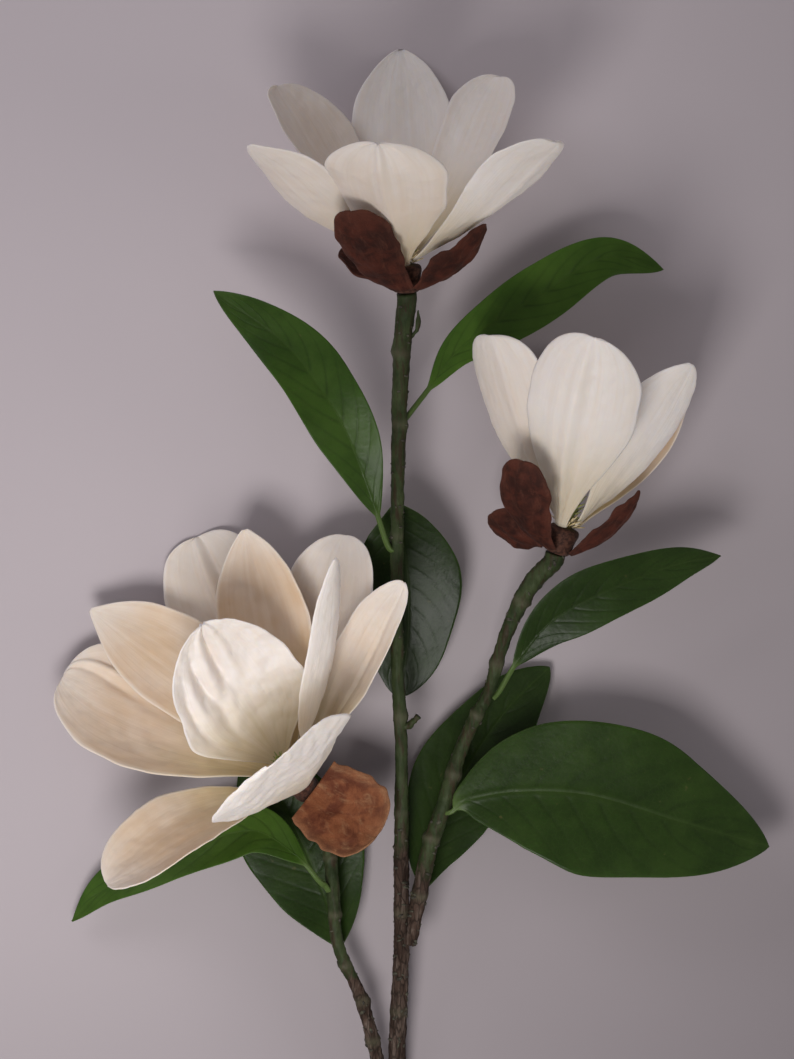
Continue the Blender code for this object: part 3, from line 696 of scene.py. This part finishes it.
def petal_material():
    """Creamy satin, fine lengthwise fibres, yellow base, painted shade in light brown, less at the
    tip.
    """
    material, tree, surface = start_material("petal_satin", Subsurface_Weight=0.3,
        Subsurface_Radius=(1.0, 0.72, 0.45), Subsurface_Scale=0.004, Sheen_Weight=0.12,
        Sheen_Roughness=0.5, Specular_IOR_Level=0.35)
    shades = PETAL_COLOURS
    uv = add(tree, "ShaderNodeTexCoord").outputs["UV"]
    across, along, _ = add(tree, "ShaderNodeSeparateXYZ", Vector=uv).outputs
    side = attribute(tree, "outer")
    painted_shade = attribute(tree, "painted_shade")
    fibres = mottle(tree, stretched(tree, 60, 2.2), 4.0, 0.6)
    streaks = mottle(tree, stretched(tree, 13, 1.1), 2.0, 0.5, 0.3)
    clouds = mottle(tree, evenly(tree, 45), 3.0, 0.55)
    weave = mottle(tree, evenly(tree, 2600), 1.0, 0.5)
    cream = mix(tree, ramp(tree, streaks, 0.35, 0.7), shades["white"], shades["cream"])
    # Painted shade: petals that lie in shade get light brown, most near the base and less towards
    # the tip
    shade_beige = mix(tree, ramp(tree, streaks, 0.35, 0.65), shades["shade_beige"], shades["tan"])
    share = calc(tree, "MULTIPLY", painted_shade, ramp(tree, clouds, 0.25, 0.7, 0.75, 1.0), clamp=True)
    share = calc(tree, "MULTIPLY", share, ramp(tree, along, 0.5, 1.0, 1.0, 0.4))
    colour = mix(tree, share, cream, shade_beige)
    base = calc(tree, "ADD", along, calc(tree, "MULTIPLY", streaks, 0.22))
    base = ramp(tree, base, 0.16, 0.58, 1.0, 0.0)
    base = calc(tree, "MULTIPLY", base, calc(tree, "MULTIPLY_ADD", side, -0.25, 0.75))
    colour = mix(tree, base, colour, shades["base"])
    line = ramp(tree, fibres, 0.50, 0.72, 0.0, 0.07)
    colour = mix(tree, line, colour, shades["fibre"])
    rim = rim_share(tree, across, 0.455, 0.35)
    colour = mix(tree, rim, colour, shades["white"])
    stain = ramp(tree, mottle(tree, evenly(tree, 160), 2.0), 0.70, 0.80, 0.0, 0.12)
    colour = mix(tree, stain, colour, shades["stain"])
    wire(tree, surface, colour, ramp(tree, clouds, 0.3, 0.7, 0.46, 0.6),
         ((fibres, 0.25, 0.0003), (streaks, 0.3, 0.0008), (weave, 0.12, 0.0001)))
    return material


def sepal_material(name, dark, mid, light):
    """Brown suede: soft mottling, short pile and paler crests."""
    material, tree, surface = start_material(name, Sheen_Weight=0.04, Sheen_Roughness=0.6,
        Sheen_Tint=(0.8, 0.4, 0.3), Specular_IOR_Level=0.15)
    patches = mottle(tree, evenly(tree, 110), 4.0, 0.6, 0.4)
    grain = mottle(tree, stretched(tree, 9, 5), 5.0, 0.65, 0.6)
    pile = mottle(tree, evenly(tree, 1500), 2.0, 0.6)
    crest = attribute(tree, "crest")
    colour = mix(tree, ramp(tree, patches, 0.36, 0.62), dark, mid)
    spots = calc(tree, "MULTIPLY", ramp(tree, grain, 0.5, 0.75), 0.4)
    colour = mix(tree, spots, colour, light)
    colour = mix(tree, calc(tree, "MULTIPLY", crest, 0.5, clamp=True), colour, light)
    colour = mix(tree, ramp(tree, pile, 0.3, 0.7, 0.0, 0.28), colour, dark)
    wire(tree, surface, colour, 0.78,
         ((patches, 0.5, 0.0012), (grain, 0.4, 0.0008), (pile, 0.35, 0.0003)))
    return material


def leaf_material():
    """Waxy green with pale sunken veins above, a matt light green underside and a paler rim."""
    material, tree, surface = start_material("waxy_leaf", Specular_IOR_Level=0.13,
        Subsurface_Weight=0.08, Subsurface_Radius=(0.4, 1.0, 0.2), Subsurface_Scale=0.003)
    shades = LEAF_COLOURS
    vein = attribute(tree, "vein")
    midrib = attribute(tree, "midrib")
    upper = attribute(tree, "upper")
    tone = attribute(tree, "tone")
    stalk = attribute(tree, "stalk")
    uv = add(tree, "ShaderNodeTexCoord").outputs["UV"]
    across = add(tree, "ShaderNodeSeparateXYZ", Vector=uv).outputs[0]
    clouds = mottle(tree, evenly(tree, 38), 4.0, 0.6)
    cells = cell_edges(tree, evenly(tree, 330))
    grain = mottle(tree, evenly(tree, 900), 2.0, 0.5)
    deep = blotches(tree, clouds, (shades["deep"], shades["mid"]))
    fresh = blotches(tree, clouds, (shades["fresh"], shades["lime"]))
    colour = mix(tree, tone, deep, fresh)
    colour = mix(tree, calc(tree, "MULTIPLY", vein, 0.45, clamp=True), colour, shades["deep"])
    colour = mix(tree, ramp(tree, cells, 0.0, 0.06, 0.10, 0.0), colour, shades["vein"])
    under = blotches(tree, clouds, (shades["under"], shades["under_light"]))
    under = mix(tree, calc(tree, "MULTIPLY", vein, 0.35, clamp=True), under, shades["midrib"])
    under = mix(tree, calc(tree, "MULTIPLY", midrib, 0.7, clamp=True), under, shades["midrib"])
    colour = mix(tree, calc(tree, "MULTIPLY", midrib, 0.3, clamp=True), colour, shades["vein"])
    colour = mix(tree, upper, under, colour)
    rim = rim_share(tree, across, 0.485, 0.3)
    colour = mix(tree, rim, colour, shades["vein"])
    colour = mix(tree, stalk, colour, shades["stalk"])
    blemish = ramp(tree, mottle(tree, evenly(tree, 210), 2.0), 0.71, 0.78, 0.0, 0.45)
    colour = mix(tree, blemish, colour, shades["blemish"])
    roughness = mix(tree, upper, (0.6, 0.6, 0.6), (0.33, 0.33, 0.33))
    roughness = calc(tree, "MULTIPLY_ADD", clouds, 0.14, calc(tree, "ADD", roughness, -0.06))
    wire(tree, surface, colour, roughness,
         ((vein, 0.3, -0.00025), (cells, 0.12, 0.0004), (clouds, 0.4, 0.0016),
          (grain, 0.1, 0.0002)))
    return material


def stem_material():
    """Green twig, flecked with brown, that turns into rough grey-brown bark at the cut end."""
    material, tree, surface = start_material("twig_and_bark", Specular_IOR_Level=0.1)
    shades = STEM_COLOURS
    bark = attribute(tree, "bark")
    knot = attribute(tree, "knot")
    long_grain = mottle(tree, stretched(tree, 420, 60, 420, "Object"), 5.0, 0.65, 0.6)
    patches = mottle(tree, stretched(tree, 150, 90, 150, "Object"), 4.0, 0.6)
    fine = mottle(tree, stretched(tree, 1300, 700, 1300, "Object"), 3.0, 0.6)
    cracks = cell_edges(tree, stretched(tree, 420, 120, 420, "Object"))
    green = blotches(tree, patches, (shades["green"], shades["green_light"]))
    green = mix(tree, ramp(tree, long_grain, 0.47, 0.64, 0.0, 0.8), green, shades["fleck"])
    brown = blotches(tree, patches, (shades["bark_dark"], shades["bark"]))
    brown = mix(tree, ramp(tree, long_grain, 0.45, 0.7, 0.0, 0.75), brown, shades["bark_pale"])
    brown = mix(tree, ramp(tree, cracks, 0.0, 0.12, 0.7, 0.0), brown, shades["crack"])
    edge = calc(tree, "ADD", bark, calc(tree, "MULTIPLY_ADD", patches, 0.8, -0.4))
    share = ramp(tree, edge, 0.35, 0.65)
    colour = mix(tree, share, green, brown)
    colour = mix(tree, calc(tree, "MULTIPLY", knot, 0.65, clamp=True), colour, shades["knot"])
    colour = mix(tree, ramp(tree, fine, 0.55, 0.75, 0.0, 0.3), colour, shades["crack"])
    rough = calc(tree, "MULTIPLY_ADD", share, 0.28, 0.52)
    height = calc(tree, "MULTIPLY", long_grain, calc(tree, "MULTIPLY_ADD", share, 0.8, 0.3))
    wire(tree, surface, colour, rough,
         ((height, 0.9, 0.0012), (cracks, 0.25, 0.0006), (fine, 0.35, 0.0003)))
    return material


def centre_material():
    """Fuzzy green-yellow core of a flower, brown where it meets the twig."""
    material, tree, surface = start_material("flower_core", Sheen_Weight=0.05,
        Specular_IOR_Level=0.15)
    shades = CENTRE_COLOURS
    high = attribute(tree, "height")
    speckle = mottle(tree, evenly(tree, 700), 3.0, 0.6)
    low = mix(tree, ramp(tree, speckle, 0.35, 0.65), shades["brown"], shades["collar"])
    top = mix(tree, ramp(tree, speckle, 0.4, 0.7, 0.0, 0.6), shades["green"],
              shades["yellow"])
    colour = mix(tree, ramp(tree, high, 0.36, 0.44), low, top)
    wire(tree, surface, colour, 0.7, ((speckle, 0.6, 0.0006),))
    return material


def speckled_material(name, colour_a, colour_b, scale, roughness):
    """Small parts of one colour family: stamens, carpels and raised bark flecks."""
    material, tree, surface = start_material(name)
    speckle = mottle(tree, evenly(tree, scale), 3.0, 0.6)
    colour = mix(tree, ramp(tree, speckle, 0.35, 0.65), colour_a, colour_b)
    wire(tree, surface, colour, roughness, ((speckle, 0.4, 0.0003),))
    return material


def floor_material():
    """Smooth pale mauve-grey paper with painted shade that deepens it towards the lower right."""
    material, tree, surface = start_material("studio_paper", Specular_IOR_Level=0.2)
    clouds = mottle(tree, evenly(tree, 2.2), 2.0, 0.5)
    # Painted shade: the paper grows deeper towards the lower right, as if less light fell there
    x, y, _ = add(tree, "ShaderNodeSeparateXYZ", Vector=evenly(tree, 1.0)).outputs
    across = calc(tree, "SUBTRACT", x, y)
    painted_falloff = calc(tree, "MULTIPLY_ADD", clouds, 0.15, across)
    tooth = mottle(tree, evenly(tree, 900), 2.0, 0.5)
    colour = mix(tree, ramp(tree, painted_falloff, -0.35, 0.6), FLOOR_AND_PAINTED_SHADE[0], FLOOR_AND_PAINTED_SHADE[1])
    wire(tree, surface, colour, 0.85, ((tooth, 0.05, 0.0002),))
    return material


# ---------------------------------------------------------------- repeated small parts


def tree_with(inputs):
    """A geometry tree with its named inputs, and the two ends to link."""
    tree = bpy.data.node_groups.new("repeat", "GeometryNodeTree")
    tree.interface.new_socket("Geometry", in_out="INPUT", socket_type="NodeSocketGeometry")
    tree.interface.new_socket("Geometry", in_out="OUTPUT", socket_type="NodeSocketGeometry")
    for name, kind, value in inputs:
        socket = tree.interface.new_socket(name, in_out="INPUT", socket_type=kind)
        if value is not None:
            socket.default_value = value
    return tree, add(tree, "NodeGroupInput"), add(tree, "NodeGroupOutput")


def add_to_body(tree, ins, instances, result):
    """Makes the repeated parts real, gives them their material and joins them to their body."""
    solid = add(tree, "GeometryNodeRealizeInstances", Geometry=instances.outputs[0]).outputs[0]
    solid = add(tree, "GeometryNodeSetMaterial", Geometry=solid, Material=ins["Material"])
    both = add(tree, "GeometryNodeJoinGeometry")
    tree.links.new(solid.outputs[0], both.inputs[0])
    tree.links.new(ins["Geometry"], both.inputs[0])
    tree.links.new(both.outputs[0], result.inputs[0])
    return tree


def spiral_tree():
    """Scales set on a golden spiral around +Z between two heights, leaning out from the axis."""
    tree, source, result = tree_with((
        ("Count", "NodeSocketInt", 40),
        ("Low", "NodeSocketFloat", 0.0), ("High", "NodeSocketFloat", 0.01),
        ("Radius Low", "NodeSocketFloat", 0.005), ("Radius High", "NodeSocketFloat", 0.003),
        ("Length", "NodeSocketFloat", 0.006), ("Thick", "NodeSocketFloat", 0.0006),
        ("Lean Low", "NodeSocketFloat", 1.2), ("Lean High", "NodeSocketFloat", 0.6),
        ("Material", "NodeSocketMaterial", None)))
    ins = source.outputs
    points = add(tree, "GeometryNodePoints", Count=ins["Count"]).outputs[0]
    index = add(tree, "GeometryNodeInputIndex").outputs[0]
    last = calc(tree, "SUBTRACT", ins["Count"], 1.0)
    share = calc(tree, "DIVIDE", index, last)
    angle = calc(tree, "MULTIPLY", index, GOLDEN_ANGLE)

    def chance(low, high, seed):
        return add(tree, "FunctionNodeRandomValue", dict(data_type="FLOAT"), i2=low, i3=high,
                   ID=index, Seed=seed).outputs[1]

    def between(low, high):
        return add(tree, "ShaderNodeMix", dict(data_type="FLOAT"), i0=share, i2=low,
                   i3=high).outputs[0]

    wobble = chance(-1.0, 1.0, 7)
    radius = between(ins["Radius Low"], ins["Radius High"])
    height = between(ins["Low"], ins["High"])
    lean = calc(tree, "MULTIPLY_ADD", wobble, 0.12, between(ins["Lean Low"], ins["Lean High"]))
    cos_a = calc(tree, "COSINE", angle)
    sin_a = calc(tree, "SINE", angle)
    at = add(tree, "ShaderNodeCombineXYZ", X=calc(tree, "MULTIPLY", radius, cos_a),
             Y=calc(tree, "MULTIPLY", radius, sin_a), Z=height).outputs[0]
    out = calc(tree, "SINE", lean)
    way = add(tree, "ShaderNodeCombineXYZ", X=calc(tree, "MULTIPLY", out, cos_a),
              Y=calc(tree, "MULTIPLY", out, sin_a), Z=calc(tree, "COSINE", lean)).outputs[0]
    points = add(tree, "GeometryNodeSetPosition", Geometry=points, Position=at).outputs[0]
    turn = add(tree, "FunctionNodeAlignRotationToVector", dict(axis="Z"), Vector=way).outputs[0]
    scale = chance(0.82, 1.12, 3)
    cone = add(tree, "GeometryNodeMeshCone", Vertices=6, Side_Segments=3, Radius_Top=0.0002,
               Radius_Bottom=ins["Thick"], Depth=ins["Length"])
    shape = add(tree, "GeometryNodeSetShadeSmooth", Geometry=cone.outputs[0]).outputs[0]
    scales = add(tree, "GeometryNodeInstanceOnPoints", Points=points, Instance=shape, Rotation=turn,
                 Scale=scale)
    return add_to_body(tree, ins, scales, result)


def fleck_tree():
    """Small raised flecks scattered over a stem, more of them where the bark attribute is high."""
    tree, source, result = tree_with((
        ("Density", "NodeSocketFloat", 30000.0), ("Size", "NodeSocketFloat", 0.0005),
        ("Seed", "NodeSocketInt", 1), ("Material", "NodeSocketMaterial", None)))
    ins = source.outputs
    bark = add(tree, "GeometryNodeInputNamedAttribute", dict(data_type="FLOAT"), Name="bark")
    share = calc(tree, "MULTIPLY_ADD", bark.outputs[0], 0.75, 0.25)
    density = calc(tree, "MULTIPLY", ins["Density"], share)
    spread = add(tree, "GeometryNodeDistributePointsOnFaces", dict(distribute_method="RANDOM"),
                 Mesh=ins["Geometry"], Seed=ins["Seed"])
    tree.links.new(density, spread.inputs["Density"])
    ball = add(tree, "GeometryNodeMeshIcoSphere", Radius=1.0, Subdivisions=1)
    shape = add(tree, "GeometryNodeSetShadeSmooth", Geometry=ball.outputs[0]).outputs[0]
    flat = add(tree, "FunctionNodeRandomValue", dict(data_type="FLOAT_VECTOR"), i0=(0.5, 0.5, 0.35),
               i1=(1.2, 2.2, 0.7)).outputs[0]
    size = add(tree, "ShaderNodeVectorMath", dict(operation="SCALE"), i0=flat,
               Scale=ins["Size"]).outputs[0]
    flecks = add(tree, "GeometryNodeInstanceOnPoints", Points=spread.outputs["Points"],
                 Instance=shape, Rotation=spread.outputs["Rotation"], Scale=size)
    return add_to_body(tree, ins, flecks, result)


def grow(obj, tree, settings):
    """Runs a geometry tree on an object and keeps the result as its plain mesh."""
    modifier = obj.modifiers.new("grow", "NODES")
    modifier.node_group = tree
    for item in tree.interface.items_tree:
        if item.in_out == "INPUT" and item.name in settings:
            modifier[item.identifier] = settings[item.name]
    graph = bpy.context.evaluated_depsgraph_get()
    mesh = bpy.data.meshes.new_from_object(obj.evaluated_get(graph))
    obj.modifiers.remove(modifier)
    old = obj.data
    obj.data = mesh
    bpy.data.meshes.remove(old)
    mesh.name = obj.name


# ---------------------------------------------------------------- the branch

PETAL = petal_material()
LEAF = leaf_material()
STEM = stem_material()
CENTRE = centre_material()
SEPAL_DARK = sepal_material("maroon_sepal", *SEPAL_COLOURS["dark"])
SEPAL_RUST = sepal_material("rust_sepal", *SEPAL_COLOURS["rust"])
STAMEN = speckled_material("stamens", *CENTRE_COLOURS["stamen"], 500, 0.6)
CARPEL = speckled_material("carpels", *CENTRE_COLOURS["carpel"], 500, 0.6)
FLECK = speckled_material("bark_flecks", *STEM_COLOURS["flecks"], 600, 0.75)


def build_petal(flower, name, values, seed):
    """One petal, thin at its wavy rim, leaning out from the flower's axis."""
    values = dict(dict(crumple=0.35), **values)
    # Painted shade: how much light brown shade this petal is given
    painted_shade = values.pop("painted_shade")
    around = values.pop("around")
    surface = petal_surface(PETAL_GRID, ragged=0.07, seed=seed, **values)
    verts, faces, uv, outer = sheet_solid(surface, rounded(PETAL_GRID, PETAL_THICKNESS))
    verts = in_flower(verts, FLOWERS[flower], around)
    node = flower + "_petal_" + name
    obj = make_mesh(node + "_skin", verts, faces, uv, PETAL,
                    (("outer", outer), ("painted_shade", np.full(len(verts), painted_shade))))
    finish_piece(obj, node)


def build_sepal(flower, name, values, material, seed):
    """One sepal: a broad foot, ragged edges, and paler crests at its sides and tip."""
    values = dict(dict(start=COLLAR, claw=0.3), **values)
    values["claw"] = min(1.3 * values["claw"], 0.8)
    around = values.pop("around")
    surface = petal_surface(SEPAL_GRID, pleats=SEPAL_PLEATS, rim=(0.7, 2.3, seed), ragged=0.15,
                            crumple=0.7, seed=seed, **values)
    verts, faces, uv, _ = sheet_solid(surface, rounded(SEPAL_GRID, SEPAL_THICKNESS))
    crest = 0.5 * np.abs(uv[:, 0] * 2 - 1) ** 6 + 0.6 * uv[:, 1] ** 5
    verts = in_flower(verts, FLOWERS[flower], around)
    node = flower + "_sepal_" + name
    obj = make_mesh(node + "_skin", verts, faces, uv, material, (("crest", crest),))
    finish_piece(obj, node)


def build_centre(flower):
    """The turned core of a flower with its stamens and carpels, made upright, then put in place."""
    profile = np.array(CENTRE_PROFILE)
    angle = np.linspace(0, 2 * math.pi, CENTRE_SIDES, endpoint=False)
    ring = np.stack([profile[:, :1] * np.cos(angle), profile[:, :1] * np.sin(angle),
                     profile[:, 1:] * np.ones(CENTRE_SIDES)], axis=-1)
    verts, faces, _ = ring_solid(ring)
    node = flower + "_centre"
    mesh = bpy.data.meshes.new(node)
    mesh.from_pydata((verts * MM).tolist(), [], faces)
    low, high = profile[0, 1], profile[-1, 1]
    height = np.clip((verts[:, 2] - low) / (high - low), 0, 1)
    mesh.attributes.new("height", "FLOAT", "POINT").data.foreach_set("value", height)
    mesh.polygons.foreach_set("use_smooth", [True] * len(mesh.polygons))
    mesh.materials.append(CENTRE)
    obj = bpy.data.objects.new(node + "_skin", mesh)
    bpy.context.scene.collection.objects.link(obj)
    spiral = spiral_tree()
    for settings in (STAMENS, CARPELS):
        scaled = {key: value * MM if key in IN_MM else value for key, value in settings.items()}
        scaled["Material"] = STAMEN if settings is STAMENS else CARPEL
        grow(obj, spiral, scaled)
    place = FLOWERS[flower]
    matrix = Matrix(flower_matrix(place).tolist()).to_4x4()
    matrix.translation = Vector(np.array(place["base"], float) * MM + OFFSET)
    obj.data.transform(matrix)
    finish_piece(obj, node)


def build_leaf(name, values):
    """A leaf whose petiole starts inside its stem and thins out into the blade."""
    values = dict(dict(petiole=PETIOLE_SHARE), **values)
    values["path"] = (values.pop("root"), *values["path"])
    tone = values.pop("tone")
    petiole = values["petiole"]
    surface, open_blade = leaf_surface(LEAF_GRID, **values)
    u = np.linspace(0, 1, LEAF_GRID[0])[:, None]
    v = across_leaf(LEAF_GRID[1])
    blade = np.clip((u - petiole) / (1 - petiole), 0, 1)
    thick = PETIOLE_THICKNESS + (LEAF_THICKNESS - PETIOLE_THICKNESS) * step(u, 0.0, petiole + 0.03)
    thick = thick + 1.1 * np.exp(-((v * open_blade * 18) ** 2)) * (1 - 0.7 * blade)
    half = thick / 2 * np.sqrt(np.clip(1 - np.abs(v) ** 8, 0.1, 1))
    verts, faces, uv, upper = sheet_solid(surface, half[..., None])
    vein = (vein_depth(blade, v) * step(open_blade, 0.05, 0.3)).ravel()
    midrib = (np.exp(-((v * open_blade * 30) ** 2)) * (1 - 0.5 * blade) + 0 * v).ravel()
    stalk = (1 - step(blade, 0.0, 0.05) + 0 * v).ravel()
    node = "leaf_" + name
    obj = make_mesh(node + "_skin", verts, faces, uv, LEAF,
                    (("upper", upper), ("vein", np.tile(vein, 2)), ("midrib", np.tile(midrib, 2)),
                     ("stalk", np.tile(stalk, 2)), ("tone", np.full(len(verts), tone))))
    finish_piece(obj, node)


def build_stem(node, path, radii, rings, sides, seed, bark_below=0, blend=1, knots=()):
    """A stem or a small side growth; only a knotty stem carries flecks."""
    ring, u = stem_surface(path, radii, rings, sides, knots, seed)
    verts, faces, uv = ring_solid(ring)
    bark = 1 - step(verts[:, 1], bark_below - blend, bark_below + blend)
    share = np.append(np.repeat(u, sides), (0.0, 1.0))
    knot = np.zeros(len(verts))
    for place, height, wide in knots:
        knot = knot + min(height, 0.8) * np.exp(-(((share - place) / (wide * 0.8)) ** 2))
    obj = make_mesh(node + "_skin", verts, faces, uv, STEM, (("bark", bark), ("knot", knot)))
    if knots:
        grow(obj, FLECKS, dict(BARK_FLECKS, Seed=seed, Material=FLECK))
    finish_piece(obj, node)


FLECKS = fleck_tree()
for flower_number, (flower, petals) in enumerate(PETALS.items()):
    build_centre(flower)
    for number, (name, values) in enumerate(petals.items()):
        build_petal(flower, name, values, 10 * flower_number + number)
    brown = SEPAL_RUST if flower == "low_flower" else SEPAL_DARK
    for number, (name, values) in enumerate(SEPALS[flower].items()):
        build_sepal(flower, name, values, brown, 3 * flower_number + number)
for name, values in LEAVES.items():
    build_leaf(name, values)
for number, (node, values) in enumerate(STEMS.items()):
    values = dict(values, rings=values["rings"] * STEM_FINER)
    build_stem(node, **values, sides=STEM_SIDES, seed=number)
for number, (node, values) in enumerate(STUBS.items()):
    radii = values["radii"]
    path = (values["root"], *values["path"])
    build_stem(node, path, (radii[0], *radii), STUB_RINGS, STUB_SIDES, 10 + number)


# ---------------------------------------------------------------- floor, light and camera


def build_floor():
    mesh = bpy.data.meshes.new("paper")
    reach = FLOOR_REACH
    corners = [(-reach, -reach, 0), (reach, -reach, 0), (reach, reach, 0), (-reach, reach, 0)]
    mesh.from_pydata(corners, [], [(0, 1, 2, 3)])
    mesh.materials.append(floor_material())
    floor = bpy.data.objects.new("paper", mesh)
    bpy.context.scene.collection.objects.link(floor)


def area_light(name, place, target, size, power, colour, spread=180):
    data = bpy.data.lights.new(name, "AREA")
    data.shape = "SQUARE"
    data.size = size
    data.energy = power
    data.color = colour
    data.spread = math.radians(spread)
    lamp = bpy.data.objects.new(name, data)
    lamp.location = place
    lamp.rotation_euler = (Vector(target) - Vector(place)).to_track_quat("-Z", "Y").to_euler()
    lamp.visible_camera = False
    bpy.context.scene.collection.objects.link(lamp)


def build_camera():
    """Looks straight down, with +Y upwards."""
    data = bpy.data.cameras.new("camera")
    data.lens = CAMERA_LENS
    data.sensor_fit = "VERTICAL"
    data.sensor_height = 36.0
    data.clip_start, data.clip_end = 0.05, 20.0
    camera = bpy.data.objects.new("camera", data)
    camera.location = [a + b for a, b in zip(CAMERA_ABOVE, (OFFSET[0], OFFSET[1], 0))]
    bpy.context.scene.collection.objects.link(camera)
    bpy.context.scene.camera = camera


def build_world():
    world = bpy.data.worlds.new("studio")
    world.use_nodes = True
    background = world.node_tree.nodes["Background"]
    background.inputs["Color"].default_value = (*WORLD_COLOUR, 1.0)
    background.inputs["Strength"].default_value = WORLD_STRENGTH
    bpy.context.scene.world = world


build_floor()
for lamp in LAMPS:
    area_light(**lamp)
build_world()
build_camera()
bpy.context.scene.view_settings.view_transform = "Standard"
